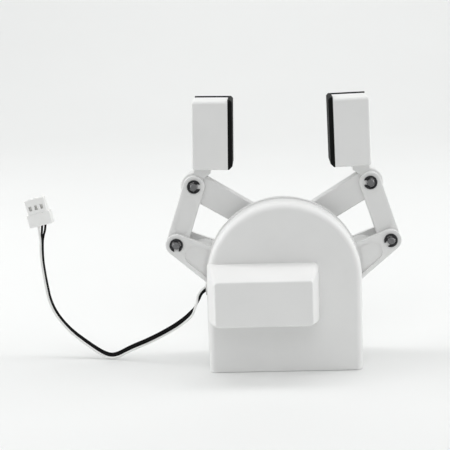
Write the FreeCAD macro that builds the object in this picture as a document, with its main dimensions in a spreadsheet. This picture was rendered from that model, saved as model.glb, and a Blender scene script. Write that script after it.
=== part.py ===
"""Two-finger parallel gripper for a desktop robot arm, driven by a micro servo.

Frame: +Z up, +X to the right seen from the front, the front faces -Y, millimetres.
The origin is under the middle of the gripper, on the plane that its base stands on.

A D-shaped front shell with a drafted servo housing on its face is closed by a thin bearing
plate, and a rear shell holds the other ends of the pivots. Between plate and rear shell two
gear arms mesh at the centre line. Each carries a coupler, which an upper link keeps upright,
and each coupler carries a finger with a rubber pad.
"""
import FreeCAD
import Part
import Sketcher
import math
import os

DIMENSIONS = (
    # housing
    ("body_width", 63.2), ("shell_height", 70.3), ("plate_lip", 0.6), ("wall", 2.0),
    ("face_y", -8.0), ("shell_rear_y", 4.0), ("plate_thickness", 1.6), ("face_fillet", 2.8),
    ("arms_front_y", 5.8), ("arms_rear_y", 22.4), ("cover_front_y", 22.6), ("cover_rear_y", 25.0),
    ("cover_width", 61.2), ("cover_height", 67.9), ("cover_fillet", 1.8), ("side_wall_height", 23.5),
    ("base_thickness", 2.4), ("screw_side_x", 26.6), ("screw_side_z", 6.2), ("screw_top_z", 46.8),
    ("boss_radius", 3.2), ("mount_spacing_x", 24.0), ("mount_spacing_y", 16.0), ("mount_centre_y", 6.5),
    ("insert_outer_radius", 2.1), ("insert_bore_radius", 1.25), ("insert_length", 5.0),
    # servo housing on the face
    ("box_front_y", -25.0), ("box_left_x", -27.95), ("box_right_x", 11.1), ("box_low_z", 23.9),
    ("box_high_z", 42.35), ("box_draft_left", 3.5), ("box_draft_right", 3.4), ("box_draft", 4.2),
    ("box_wall", 1.6),
    ("box_corner", 1.5), ("box_root_corner", 2.6),
    # servo
    ("servo_length", 22.8), ("servo_width", 12.2), ("servo_rear_y", -0.5), ("servo_front_y", -23.2),
    ("servo_axis_inset", 6.1), ("ear_span", 32.2), ("ear_front_y", -7.4), ("ear_thickness", 2.5),
    ("ear_hole_span", 27.8), ("shaft_radius", 2.4), ("horn_radius", 5.4),
    # linkage
    ("tooth_module", 1.0), ("tooth_count", 28.0), ("pivot_height", 32.9), ("arm_length", 35.52),
    ("rest_angle", 31.1), ("coupler_in", 8.0), ("coupler_up", 24.05), ("arm_hub_radius", 10.4),
    ("arm_hub_height", 32.9), ("arm_end_radius", 4.5), ("cheek", 2.2), ("coupler_cheek", 2.4), ("layer_gap", 0.2),
    ("link_radius", 5.6), ("link_inner_radius", 5.3), ("pin_radius", 1.5), ("running_clearance", 0.05),
    ("open_pivot_clearance", 0.25), ("gear_front_y", 9.0), ("gear_rear_y", 19.0), ("backlash", 0.24),
    # fingers, measured from the finger pivot: u outward, v upward along the finger
    ("toe_in", 1.3), ("finger_low", 7.3), ("finger_high", 35.6), ("finger_width", 14.7),
    ("finger_front_y", 5.3), ("finger_rear_y", 22.9), ("finger_outset", 0.45), ("pad_thickness", 1.9),
    ("pad_rear_flange", 1.3), ("pad_lip", 0.4), ("pad_chamfer", 1.3), ("neck_width", 7.0), ("neck_front_y", 9.4),
    ("neck_rear_y", 18.8), ("neck_inset", 0.15), ("tongue_inset", 2.2), ("tongue_top", 30.0),
    ("finger_screw_radius", 0.95), ("finger_screw_head_radius", 1.75), ("finger_screw_low", 15.0),
    ("finger_screw_high", 24.0), ("finger_screw_seat", 34.9),
    # small hardware
    ("clip_radius", 2.8), ("clip_thickness", 0.6), ("clip_relief_radius", 0.52), ("clip_relief_reach", 1.5),
    ("groove_radius", 1.15), ("pin_head_radius", 2.5),
    ("cover_screw_radius", 1.25), ("cover_screw_head_radius", 2.25), ("cover_screw_head", 1.5),
    # lead
    ("lead_diameter", 2.9), ("exit_y", 2.1), ("exit_z", 33.5), ("plug_width", 10.3),
    ("plug_depth", 5.8), ("plug_length", 11.7), ("plug_tilt", -13.0),
)

# The lead's route: out of the shell's left side, down to the floor, along it for a moment
# and up again by its own stiffness to the plug.
LEAD_ROUTE = (
    (-32.4, 2.1, 33.5), (-35.0, 2.8, 31.9), (-36.3, 3.2, 27.4), (-38.6, 3.8, 22.4),
    (-45.4, 5.8, 16.6), (-56.5, 9.0, 10.0), (-66.1, 11.8, 5.5), (-72.7, 13.6, 1.6),
    (-77.3, 14.9, 1.6), (-84.6, 17.0, 5.9), (-94.0, 19.7, 12.6), (-101.0, 21.7, 21.9),
    (-103.0, 22.3, 33.8), (-104.3, 22.7, 46.5), (-102.9, 22.3, 58.3),
)

doc = FreeCAD.newDocument("Gripper")
sheet = doc.addObject("Spreadsheet::Sheet", "Dims")
for row, (alias, value) in enumerate(DIMENSIONS, start=1):
    sheet.set(f"A{row}", alias)
    sheet.set(f"B{row}", str(value))
    sheet.setAlias(f"B{row}", alias)
doc.recompute()

ALIASES = sorted((alias for alias, value in DIMENSIONS), key=len, reverse=True)
X_AXIS = FreeCAD.Vector(1, 0, 0)
Y_AXIS = FreeCAD.Vector(0, 1, 0)
Z_AXIS = FreeCAD.Vector(0, 0, 1)
ALONG_Y = FreeCAD.Rotation(X_AXIS, -90)
LEFT, RIGHT = -1, 1
NODES = []


# ---------------------------------------------------------------- expressions and sketches

def formula(text):
    """Turns a formula of sheet names, such as "wall + 2 * pin_radius", into an expression."""
    words, word = [], ""
    for letter in f"{text} ":
        if letter.isalnum() or letter == "_":
            word += letter
            continue
        if word in ALIASES:
            word = f"Dims.{word}"
        words.append(word + letter)
        word = ""
    return "".join(words).strip()


def number(text):
    """The value of a formula of sheet names."""
    value = sheet.evalExpression(formula(str(text)))
    return float(getattr(value, "Value", value))


def new_body(node):
    """A PartDesign body that is one sub-part of the gripper."""
    body = doc.addObject("PartDesign::Body", node)
    body.Label = node
    return body


def plane_of(body, role):
    return next(item for item in body.Origin.OriginFeatures if item.Role == role)


class Outline:
    """A sketch on a plane of a body. FRONT looks along +Y (u is X, v is Z), TOP down from
    above (u is X, v is Y) and SIDE along X (u is Y, v is Z)."""

    PLANES = {"FRONT": ("XZ_Plane", -1), "TOP": ("XY_Plane", 1), "SIDE": ("YZ_Plane", 1)}

    def __init__(self, body, name, view, depth):
        role, self.sense = self.PLANES[view]
        self.body, self.view = body, view
        self.sketch = body.newObject("Sketcher::SketchObject", f"{name}_outline")
        self.sketch.AttachmentSupport = (plane_of(body, role), [""])
        self.sketch.MapMode = "FlatFace"
        self.sketch.setExpression("AttachmentOffset.Base.z", formula(f"{self.sense} * ({depth})"))

    def bind(self, constraint, text):
        index = self.sketch.addConstraint(constraint)
        self.sketch.setExpression(f"Constraints[{index}]", formula(str(text)))

    def pin(self, geometry, position, u, v):
        """Holds a point of the sketch at (u, v)."""
        for kind, text in (("DistanceX", u), ("DistanceY", v)):
            self.bind(Sketcher.Constraint(kind, -1, 1, geometry, position, number(text)), text)

    def join(self, first, first_end, second, second_end, smooth=False):
        kind = "Tangent" if smooth else "Coincident"
        self.sketch.addConstraint(Sketcher.Constraint(kind, first, first_end, second, second_end))

    def add_line(self, start, end):
        return self.sketch.addGeometry(Part.LineSegment(FreeCAD.Vector(*start), FreeCAD.Vector(*end)), False)

    def add_arc(self, centre, radius, first_angle, last_angle):
        circle = Part.Circle(FreeCAD.Vector(*centre), Z_AXIS, radius)
        return self.sketch.addGeometry(Part.ArcOfCircle(circle, first_angle, last_angle), False)

    def circle(self, u, v, radius):
        centre = FreeCAD.Vector(number(u), number(v), 0)
        geometry = self.sketch.addGeometry(Part.Circle(centre, Z_AXIS, number(radius)), False)
        self.pin(geometry, 3, u, v)
        self.bind(Sketcher.Constraint("Radius", geometry, number(radius)), radius)
        return self

    def polygon(self, *points):
        places = [(number(u), number(v), 0) for u, v in points]
        lines = [self.add_line(a, b) for a, b in zip(places, places[1:] + places[:1])]
        for line, after, (u, v) in zip(lines, lines[1:] + lines[:1], points):
            self.pin(line, 1, u, v)
            self.join(line, 2, after, 1)
        return self

    def rectangle(self, u0, v0, u1, v1):
        return self.polygon((u0, v0), (u1, v0), (u1, v1), (u0, v1))

    def rounded(self, u0, v0, u1, v1, radius):
        """A rectangle with round corners of one radius."""
        low_u, low_v, high_u, high_v, size = (number(text) for text in (u0, v0, u1, v1, radius))
        corners = (
            (f"({u1}) - ({radius})", f"({v0}) + ({radius})", high_u - size, low_v + size, -90),
            (f"({u1}) - ({radius})", f"({v1}) - ({radius})", high_u - size, high_v - size, 0),
            (f"({u0}) + ({radius})", f"({v1}) - ({radius})", low_u + size, high_v - size, 90),
            (f"({u0}) + ({radius})", f"({v0}) + ({radius})", low_u + size, low_v + size, 180),
        )
        arcs = []
        for u, v, centre_u, centre_v, angle in corners:
            start = math.radians(angle)
            arc = self.add_arc((centre_u, centre_v, 0), size, start, start + math.pi / 2)
            self.pin(arc, 3, u, v)
            arcs.append(arc)
        self.bind(Sketcher.Constraint("Radius", arcs[0], size), radius)
        for arc, after in zip(arcs, arcs[1:] + arcs[:1]):
            start = self.sketch.getPoint(arc, 2)
            end = self.sketch.getPoint(after, 1)
            line = self.add_line((start.x, start.y, 0), (end.x, end.y, 0))
            self.join(arc, 2, line, 1, smooth=True)
            self.join(line, 2, after, 1, smooth=True)
        return self

    def hull(self, u1, v1, radius1, u2, v2, radius2):
        """Two circles and the straight lines that touch both."""
        first, second = (number(u1), number(v1)), (number(u2), number(v2))
        sizes = number(radius1), number(radius2)
        heading = math.atan2(second[1] - first[1], second[0] - first[0])
        lean = math.acos((sizes[0] - sizes[1]) / math.dist(first, second))
        arc1 = self.add_arc((*first, 0), sizes[0], heading + lean, heading - lean + 2 * math.pi)
        arc2 = self.add_arc((*second, 0), sizes[1], heading - lean, heading + lean)
        for arc, u, v, radius in ((arc1, u1, v1, radius1), (arc2, u2, v2, radius2)):
            self.pin(arc, 3, u, v)
            self.bind(Sketcher.Constraint("Radius", arc, number(radius)), radius)
        for start_arc, end_arc in ((arc1, arc2), (arc2, arc1)):
            start, end = self.sketch.getPoint(start_arc, 2), self.sketch.getPoint(end_arc, 1)
            line = self.add_line((start.x, start.y, 0), (end.x, end.y, 0))
            self.join(start_arc, 2, line, 1, smooth=True)
            self.join(line, 2, end_arc, 1, smooth=True)
        return self

    def arch(self, half_width, low, high):
        """A flat-bottomed outline with a half-round top."""
        half, bottom, top = number(half_width), number(low), number(high)
        centre_v = f"({high}) - ({half_width})"
        arc = self.add_arc((0, top - half, 0), half, 0, math.pi)
        left = self.add_line((-half, top - half, 0), (-half, bottom, 0))
        base = self.add_line((-half, bottom, 0), (half, bottom, 0))
        right = self.add_line((half, bottom, 0), (half, top - half, 0))
        self.pin(arc, 3, "0", centre_v)
        self.bind(Sketcher.Constraint("Radius", arc, half), half_width)
        self.join(arc, 2, left, 1, smooth=True)
        self.join(left, 2, base, 1)
        self.join(base, 2, right, 1)
        self.join(right, 2, arc, 1, smooth=True)
        self.sketch.addConstraint(Sketcher.Constraint("Horizontal", base))
        self.sketch.addConstraint(Sketcher.Constraint("Vertical", left))
        self.sketch.addConstraint(Sketcher.Constraint("Vertical", right))
        self.bind(Sketcher.Constraint("DistanceY", -1, 1, base, 1, bottom), low)
        return self

    def extrude(self, name, length, cut=False):
        """Adds or cuts a prism from the sketch towards the plane's positive axis."""
        before = self.body.Shape.Volume if self.body.Tip else 0.0
        kind = "PartDesign::Pocket" if cut else "PartDesign::Pad"
        feature = self.body.newObject(kind, name)
        feature.Profile = self.sketch
        feature.Reversed = (self.sense > 0) == cut
        feature.setExpression("Length", formula(str(length)))
        doc.recompute()
        gained = self.body.Shape.Volume - before
        if gained > -1e-3 if cut else gained < 1e-3:
            raise RuntimeError(f"{self.body.Label}.{name} changed the volume by {gained:.3f}")
        return feature


def pad(body, name, view, start, end, draw):
    """A prism between two planes, from what draw puts in the sketch."""
    outline = Outline(body, name, view, start)
    draw(outline)
    return outline.extrude(name, f"({end}) - ({start})")


def pocket(body, name, view, start, end, draw):
    outline = Outline(body, name, view, start)
    draw(outline)
    return outline.extrude(name, f"({end}) - ({start})", cut=True)


def loft(body, name, kind, first, second):
    """A ruled loft between two outlines, added or cut away."""
    feature = body.newObject(f"PartDesign::{kind}Loft", name)
    feature.Profile = first.sketch
    feature.Sections = [second.sketch]
    feature.Ruled = True
    doc.recompute()
    return feature


def round_edges(body, name, radius, chosen):
    """Fillets the edges of the body's tip for which chosen(edge) is true."""
    tip = body.Tip
    edges = [f"Edge{index}" for index, edge in enumerate(tip.Shape.Edges, start=1) if chosen(edge)]
    fillet = body.newObject("PartDesign::Fillet", name)
    fillet.Base = (tip, edges)
    fillet.setExpression("Radius", formula(str(radius)))
    doc.recompute()
    return fillet


def lies_at(edge, axis, place, slack=0.02):
    """True if the whole edge lies in the plane where axis ("X", "Y" or "Z") equals place."""
    box = edge.BoundBox
    low, high = getattr(box, f"{axis}Min"), getattr(box, f"{axis}Max")
    return abs(low - place) < slack and abs(high - place) < slack


def keep(item, node):
    """Takes an object of the document as the sub-part of that name."""
    item.Label = node
    NODES.append((node, item))
    return item


# ---------------------------------------------------------------- primitives

def place(item, x, y, z):
    for axis, text in (("x", x), ("y", y), ("z", z)):
        item.setExpression(f"Placement.Base.{axis}", formula(str(text)))


def rod(name, x, start, z, radius, length):
    """A cylinder along +Y that starts at start."""
    cylinder = doc.addObject("Part::Cylinder", name)
    cylinder.Placement = FreeCAD.Placement(FreeCAD.Vector(), ALONG_Y)
    cylinder.setExpression("Radius", formula(str(radius)))
    cylinder.setExpression("Height", formula(str(length)))
    place(cylinder, x, start, z)
    return cylinder


def block(name, x, y, z, length, width, height):
    box = doc.addObject("Part::Box", name)
    for side, text in (("Length", length), ("Width", width), ("Height", height)):
        box.setExpression(side, formula(str(text)))
    place(box, x, y, z)
    return box


def fuse(name, items):
    union = doc.addObject("Part::MultiFuse", name)
    union.Shapes = items
    union.Refine = True
    return union


def cut(name, base, tool):
    difference = doc.addObject("Part::Cut", name)
    difference.Base, difference.Tool = base, tool
    return difference


def group(name, items):
    """Several separate solids that are one sub-part."""
    compound = doc.addObject("Part::Compound", name)
    compound.Links = items
    return compound


def turned(node, profile):
    """A body turned about the Y axis: profile is a closed polygon of (radius, y)."""
    body = new_body(node)
    outline = Outline(body, node, "TOP", "0").polygon(*profile)
    revolution = body.newObject("PartDesign::Revolution", f"{node}_turn")
    revolution.Profile = outline.sketch
    revolution.ReferenceAxis = (outline.sketch, ["V_Axis"])
    revolution.Angle = 360.0
    doc.recompute()
    return body


# ---------------------------------------------------------------- places of the linkage

COS_REST = "cos(rest_angle * 1 deg)"
SIN_REST = "sin(rest_angle * 1 deg)"
PITCH_RADIUS = "(tooth_module * tooth_count / 2)"
ARM_PIVOT = (PITCH_RADIUS, "pivot_height")
COUPLER_LOW = (f"({PITCH_RADIUS} + arm_length * {COS_REST})", f"(pivot_height + arm_length * {SIN_REST})")
COUPLER_HIGH = (f"({COUPLER_LOW[0]} - coupler_in)", f"({COUPLER_LOW[1]} + coupler_up)")
LINK_PIVOT = (f"({PITCH_RADIUS} - coupler_in)", "(pivot_height + coupler_up)")
SHAFT_X = f"(-{PITCH_RADIUS})"
PLATE_REAR = "shell_rear_y + plate_thickness"


def across(side, point):
    """A point of the right-hand half, moved to the given side."""
    return f"{side} * {point[0]}", point[1]


def along_arm(side, distance):
    """A point on the line from the arm's pivot to its end, at rest."""
    return (f"{side} * ({PITCH_RADIUS} + ({distance}) * {COS_REST})",
            f"pivot_height + ({distance}) * {SIN_REST}")


def on_finger(side, u, v):
    """A point of the leaning finger: u outward from the finger pivot, v up along the finger."""
    lean_cos, lean_sin = "cos(toe_in * 1 deg)", "sin(toe_in * 1 deg)"
    return (f"{side} * ({COUPLER_HIGH[0]} + ({u}) * {lean_cos} - ({v}) * {lean_sin})",
            f"{COUPLER_HIGH[1]} + ({v}) * {lean_cos} + ({u}) * {lean_sin}")


def finger_quad(side, u0, v0, u1, v1):
    corners = ((u0, v0), (u1, v0), (u1, v1), (u0, v1))
    return [on_finger(side, u, v) for u, v in corners]


SCREW_PLACES = (("-screw_side_x", "screw_side_z"), ("screw_side_x", "screw_side_z"), ("0", "screw_top_z"))
MOUNT_PLACES = [
    (f"{i} * mount_spacing_x / 2", f"mount_centre_y + {j} * mount_spacing_y / 2")
    for j in (LEFT, RIGHT) for i in (LEFT, RIGHT)
]
SERVO_LEFT = f"({SHAFT_X} - servo_axis_inset)"
SERVO_RIGHT = f"({SERVO_LEFT} + servo_length)"
SERVO_MIDDLE = f"({SERVO_LEFT} + servo_length / 2)"
EAR_HOLES = [f"{SERVO_MIDDLE} + {i} * ear_hole_span / 2" for i in (LEFT, RIGHT)]


# ---------------------------------------------------------------- housing

def front_shell():
    """The D-shaped cover with the drafted servo housing on its face."""
    body = new_body("front_shell")
    pad(body, "hull", "FRONT", "face_y", "shell_rear_y",
        lambda o: o.arch("body_width / 2", "0", "shell_height"))
    face = number("face_y")
    round_edges(body, "face_round", "face_fillet",
                lambda e: lies_at(e, "Y", face) and not lies_at(e, "Z", 0))
    rear = number("shell_rear_y")
    round_edges(body, "foot_round", "0.5", lambda e: lies_at(e, "Z", 0) and not lies_at(e, "Y", rear))
    root_y = "face_y + face_fillet"

    def housing(name, y, inset, share, corner):
        """The servo housing's outline at depth y. share is how far its draft has opened."""
        return Outline(body, name, "FRONT", y).rounded(
            f"box_left_x - box_draft_left * ({share}) + ({inset})", f"box_low_z - box_draft * ({share}) + ({inset})",
            f"box_right_x + box_draft_right * ({share}) - ({inset})",
            f"box_high_z + box_draft * ({share}) - ({inset})", corner)

    loft(body, "servo_housing", "Additive",
         housing("housing_front", "box_front_y", "0", "0", "box_corner"),
         housing("housing_root", root_y, "0", "1", "box_root_corner"))
    front = number("box_front_y")
    round_edges(body, "housing_round", "0.8", lambda e: lies_at(e, "Y", front))
    pocket(body, "cavity", "FRONT", "face_y + wall", "shell_rear_y",
           lambda o: o.arch("body_width / 2 - wall", "base_thickness", "shell_height - wall"))
    loft(body, "servo_space", "Subtractive",
         housing("space_front", "box_front_y + box_wall", "box_wall", "0.08", "0.5"),
         housing("space_root", root_y, "box_wall + 0.3", "1", "0.9"))

    def bosses(o):
        for x, z in SCREW_PLACES:
            o.circle(x, z, "boss_radius")

    pad(body, "screw_bosses", "FRONT", "face_y + wall - 0.5", "shell_rear_y", bosses)
    pocket(body, "screw_pilots", "FRONT", "face_y + wall + 1", "shell_rear_y",
           lambda o: [o.circle(x, z, "cover_screw_radius - 0.02") for x, z in SCREW_PLACES])
    pad(body, "servo_posts", "FRONT", "box_front_y + box_wall - 0.4", "ear_front_y",
        lambda o: [o.circle(x, "pivot_height", "2.3") for x in EAR_HOLES])
    pocket(body, "servo_post_pilots", "FRONT", "ear_front_y - 6", "ear_front_y",
           lambda o: [o.circle(x, "pivot_height", "0.85") for x in EAR_HOLES])
    pad(body, "insert_bosses", "TOP", "base_thickness - 0.5", "insert_length + 1.6",
        lambda o: [o.circle(x, y, "insert_outer_radius + 1.4") for x, y in MOUNT_PLACES[:2]])
    pocket(body, "insert_holes", "TOP", "0", "insert_length",
           lambda o: [o.circle(x, y, "insert_outer_radius") for x, y in MOUNT_PLACES[:2]])
    pocket(body, "lead_notch", "SIDE", "-body_width / 2 - 1", "-body_width / 2 + wall + 1",
           lambda o: o.rectangle("exit_y - 1.9", "exit_z - 2.6", "shell_rear_y", "exit_z + 2.6"))
    return keep(body, "front_shell")


def bearing_plate():
    """The thin plate behind the front shell, a lip proud of it all round the arch."""
    body = new_body("bearing_plate")
    pad(body, "sheet", "FRONT", "shell_rear_y", PLATE_REAR,
        lambda o: o.arch("body_width / 2 + plate_lip", "0", "shell_height + plate_lip"))

    def holes(o):
        o.circle(SHAFT_X, "pivot_height", "6.2")
        o.circle(PITCH_RADIUS, "pivot_height", "pin_radius + 0.02")
        for x, z in SCREW_PLACES:
            o.circle(x, z, "cover_screw_radius + 0.15")
        for side in (LEFT, RIGHT):
            o.circle(*across(side, LINK_PIVOT), "pin_radius + 0.02")

    pocket(body, "holes", "FRONT", "shell_rear_y", PLATE_REAR, holes)
    rear = number(PLATE_REAR)
    round_edges(body, "lip_round", "0.4", lambda e: lies_at(e, "Y", rear) and e.BoundBox.ZMax > 69)
    return keep(body, "bearing_plate")


def rear_shell():
    """The back cover with its low walls, posts and the rear pivot seats."""
    body = new_body("rear_shell")
    half, rear = "cover_width / 2", number("cover_rear_y")
    pad(body, "back", "FRONT", "cover_front_y", "cover_rear_y", lambda o: o.arch(half, "0", "cover_height"))
    round_edges(body, "back_round", "cover_fillet", lambda e: lies_at(e, "Y", rear) and not lies_at(e, "Z", 0))
    pad(body, "base", "FRONT", PLATE_REAR, "cover_front_y",
        lambda o: o.rectangle(f"-{half}", "0", half, "base_thickness"))
    for name, start, end in (("left_wall", f"-{half}", f"-{half} + wall"), ("right_wall", f"{half} - wall", half)):
        pad(body, name, "FRONT", PLATE_REAR, "cover_front_y",
            lambda o: o.rectangle(start, "base_thickness - 0.2", end, "side_wall_height"))
    pad(body, "posts", "FRONT", PLATE_REAR, "cover_front_y + 0.2",
        lambda o: [o.circle(x, z, "boss_radius") for x, z in SCREW_PLACES])
    pad(body, "insert_bosses", "TOP", "base_thickness - 0.5", "insert_length + 1.6",
        lambda o: [o.circle(x, y, "insert_outer_radius + 1.4") for x, y in MOUNT_PLACES[2:]])
    pocket(body, "insert_holes", "TOP", "0", "insert_length",
           lambda o: [o.circle(x, y, "insert_outer_radius") for x, y in MOUNT_PLACES[2:]])
    pocket(body, "screw_holes", "FRONT", PLATE_REAR, "cover_rear_y",
           lambda o: [o.circle(x, z, "cover_screw_radius + 0.15") for x, z in SCREW_PLACES])
    pocket(body, "screw_seats", "FRONT", "cover_rear_y - cover_screw_head - 0.2", "cover_rear_y",
           lambda o: [o.circle(x, z, "cover_screw_head_radius + 0.15") for x, z in SCREW_PLACES])

    def seats(o):
        for side in (LEFT, RIGHT):
            o.circle(*across(side, ARM_PIVOT), "pin_radius + 0.02")
            o.circle(*across(side, LINK_PIVOT), "pin_radius + 0.02")

    pocket(body, "pivot_seats", "FRONT", "cover_front_y", "cover_rear_y - 0.8", seats)
    return keep(body, "rear_shell")


def pivot_pins():
    """Three equal through pins: the right arm's and both upper links'."""
    length = "cover_rear_y - 0.9 - shell_rear_y + 1.2"
    items = [rod("right_arm_pivot", PITCH_RADIUS, "shell_rear_y - 1.2", "pivot_height", "pin_radius", length)]
    for side, name in ((LEFT, "left"), (RIGHT, "right")):
        x, z = across(side, LINK_PIVOT)
        items.append(rod(f"{name}_link_pivot", x, "shell_rear_y - 1.2", z, "pin_radius", length))
    return keep(group("pivot_pins", items), "pivot_pins")


def driven_arm_pin():
    """The short pin behind the servo's output that carries the rear of the left arm."""
    pin = rod("left_arm_rear_pivot", SHAFT_X, "arms_rear_y - 5", "pivot_height", "pin_radius",
              "cover_rear_y - 0.9 - arms_rear_y + 5")
    return keep(pin, "driven_arm_pin")


LINK_FRONT = "(arms_front_y + cheek + coupler_cheek + 2 * layer_gap)"
LINK_REAR = "(arms_rear_y - cheek - coupler_cheek - 2 * layer_gap)"


def link_spacers():
    """Sleeves that keep the upper links central on their pins."""
    items = []
    spans = (("front", f"{PLATE_REAR} + 0.05", f"{LINK_FRONT} - 0.1"),
             ("rear", f"{LINK_REAR} + 0.1", "cover_front_y - 0.05"))
    for side, side_name in ((LEFT, "left"), (RIGHT, "right")):
        x, z = across(side, LINK_PIVOT)
        for span_name, start, end in spans:
            length = f"({end}) - ({start})"
            name = f"{side_name}_{span_name}_sleeve"
            outer = rod(f"{name}_outside", x, start, z, "pin_radius + 1.4", length)
            inner = rod(f"{name}_bore", x, start, z, "pin_radius + 0.02", length)
            items.append(cut(name, outer, inner))
    return keep(group("link_spacers", items), "link_spacers")


def screws(node, places, start, length, radius, head_radius, head, head_first):
    """Screws along Y that share a node. The head is at the -Y end if head_first."""
    items = []
    for index, (x, z) in enumerate(places, start=1):
        name = f"{node}_{index}"
        head_y = start if head_first else f"({start}) + ({length})"
        shank_y = f"({start}) + ({head})" if head_first else start
        socket_y = head_y if head_first else f"({head_y}) + ({head}) / 2"
        parts = [rod(f"{name}_shank", x, shank_y, z, radius, length),
                 rod(f"{name}_head", x, head_y, z, head_radius, head)]
        socket = rod(f"{name}_socket", x, socket_y, z, f"({radius}) * 0.8", f"({head}) / 2")
        items.append(cut(name, fuse(f"{name}_solid", parts), socket))
    return keep(group(node, items), node)


def threaded_inserts():
    items = []
    for index, (x, y) in enumerate(MOUNT_PLACES, start=1):
        body_rod = doc.addObject("Part::Cylinder", f"insert_{index}_body")
        bore = doc.addObject("Part::Cylinder", f"insert_{index}_bore")
        for cylinder, radius in ((body_rod, "insert_outer_radius"), (bore, "insert_bore_radius")):
            cylinder.setExpression("Radius", formula(radius))
            cylinder.setExpression("Height", formula("insert_length"))
            place(cylinder, x, y, "0")
        items.append(cut(f"insert_{index}", body_rod, bore))
    return keep(group("threaded_inserts", items), "threaded_inserts")


# ---------------------------------------------------------------- servo

def servo():
    """The servo's three case parts, its works and its screws."""
    low, high = "(pivot_height - servo_width / 2)", "(pivot_height + servo_width / 2)"
    gear_case_y, cap_y = "(servo_rear_y - 3.6)", "(servo_front_y + 4.8)"

    gear_case = new_body("servo_gear_case")
    pad(gear_case, "case", "FRONT", gear_case_y, "servo_rear_y",
        lambda o: o.rounded(SERVO_LEFT, low, SERVO_RIGHT, high, "0.8"))
    pad(gear_case, "turret", "FRONT", "servo_rear_y - 0.2", "shell_rear_y",
        lambda o: o.circle(SHAFT_X, "pivot_height", "servo_width / 2 - 0.2"))
    pad(gear_case, "idler_turret", "FRONT", "servo_rear_y - 0.2", "shell_rear_y - 0.6",
        lambda o: o.circle(f"{SHAFT_X} + 7.4", "pivot_height", "2.9"))
    pocket(gear_case, "bearing", "FRONT", "servo_rear_y - 1.4", "shell_rear_y",
           lambda o: o.circle(SHAFT_X, "pivot_height", "shaft_radius + running_clearance"))
    keep(gear_case, "servo_gear_case")

    middle = new_body("servo_motor_case")
    pad(middle, "case", "FRONT", cap_y, gear_case_y,
        lambda o: o.rounded(SERVO_LEFT, low, SERVO_RIGHT, high, "0.8"))
    pad(middle, "ears", "FRONT", "ear_front_y", "ear_front_y + ear_thickness",
        lambda o: o.rounded(f"{SERVO_MIDDLE} - ear_span / 2", low, f"{SERVO_MIDDLE} + ear_span / 2", high, "1.0"))
    pocket(middle, "space", "FRONT", cap_y, f"{gear_case_y} - 1.2",
           lambda o: o.rounded(f"{SERVO_LEFT} + 1.1", f"{low} + 1.1", f"{SERVO_RIGHT} - 1.1", f"{high} - 1.1", "0.5"))
    pocket(middle, "ear_holes", "FRONT", "ear_front_y", "ear_front_y + ear_thickness",
           lambda o: [o.circle(x, "pivot_height", "1.05") for x in EAR_HOLES])
    keep(middle, "servo_motor_case")

    cap = new_body("servo_end_cap")
    pad(cap, "case", "FRONT", "servo_front_y", cap_y,
        lambda o: o.rounded(SERVO_LEFT, low, SERVO_RIGHT, high, "0.8"))
    pocket(cap, "space", "FRONT", "servo_front_y + 1.4", cap_y,
           lambda o: o.rounded(f"{SERVO_LEFT} + 1.1", f"{low} + 1.1", f"{SERVO_RIGHT} - 1.1", f"{high} - 1.1", "0.5"))
    keep(cap, "servo_end_cap")

    keep(rod("servo_motor", f"{SERVO_RIGHT} - 6.4", f"{cap_y} + 0.6", "pivot_height", "4.8",
             f"{gear_case_y} - 2 - {cap_y} - 0.6"), "servo_motor")
    keep(rod("servo_potentiometer", SHAFT_X, f"{cap_y} + 3", "pivot_height", "3.6", "7"), "servo_potentiometer")
    keep(block("servo_circuit_board", f"{SERVO_LEFT} + 1.5", "servo_front_y + 2.4", f"{low} + 1.6",
               "servo_length - 3", "0.8", "servo_width - 3.2"), "servo_circuit_board")
    screws("servo_mounting_screws", [(x, "pivot_height") for x in EAR_HOLES], "ear_front_y + ear_thickness - 6.5",
           "6.5", "0.83", "1.75", "1.2", head_first=False)


def servo_output():
    """What turns with the servo's shaft: the shaft, its horn and the horn's screw."""
    shaft_front, shaft_rear = "servo_rear_y - 1.2", "arms_front_y + 2.6"
    shaft = rod("shaft_body", SHAFT_X, shaft_front, "pivot_height", "shaft_radius", f"{shaft_rear} - {shaft_front}")
    thread = rod("shaft_thread", SHAFT_X, f"{shaft_rear} - 4", "pivot_height", "0.96", "4")
    keep(cut("servo_output_shaft", shaft, thread), "servo_output_shaft")
    horn = new_body("servo_horn")
    pad(horn, "disc", "FRONT", "arms_front_y + 0.1", "arms_front_y + 2.1",
        lambda o: o.circle(SHAFT_X, "pivot_height", "horn_radius"))
    pad(horn, "hub", "FRONT", "arms_front_y + 1.9", "arms_front_y + 4",
        lambda o: o.circle(SHAFT_X, "pivot_height", "3.4"))
    pocket(horn, "spline", "FRONT", "arms_front_y + 0.1", shaft_rear,
           lambda o: o.circle(SHAFT_X, "pivot_height", "shaft_radius + 0.01"))
    pocket(horn, "screw_hole", "FRONT", "arms_front_y + 1", "arms_front_y + 4",
           lambda o: o.circle(SHAFT_X, "pivot_height", "1.05"))
    keep(horn, "servo_horn")
    screws("horn_screw", [(SHAFT_X, "pivot_height")], "arms_front_y - 1.2", "5.2", "0.94", "1.9", "1.3",
           head_first=False)


# ---------------------------------------------------------------- gear arms

def tooth_flank():
    """Three points of an involute flank, each a radius and an angle from the tooth's middle."""
    module, count = number("tooth_module"), number("tooth_count")
    pitch = module * count / 2
    base, tip, root = pitch * math.cos(math.radians(20)), pitch + module, pitch - 1.2 * module
    half_angle = (math.pi * module / 2 - number("backlash")) / 2 / pitch

    def spread(radius):
        turn = math.acos(base / max(radius, base))
        return math.tan(turn) - turn

    return [(radius, half_angle + spread(pitch) - spread(radius)) for radius in (root, pitch, tip)]


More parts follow.
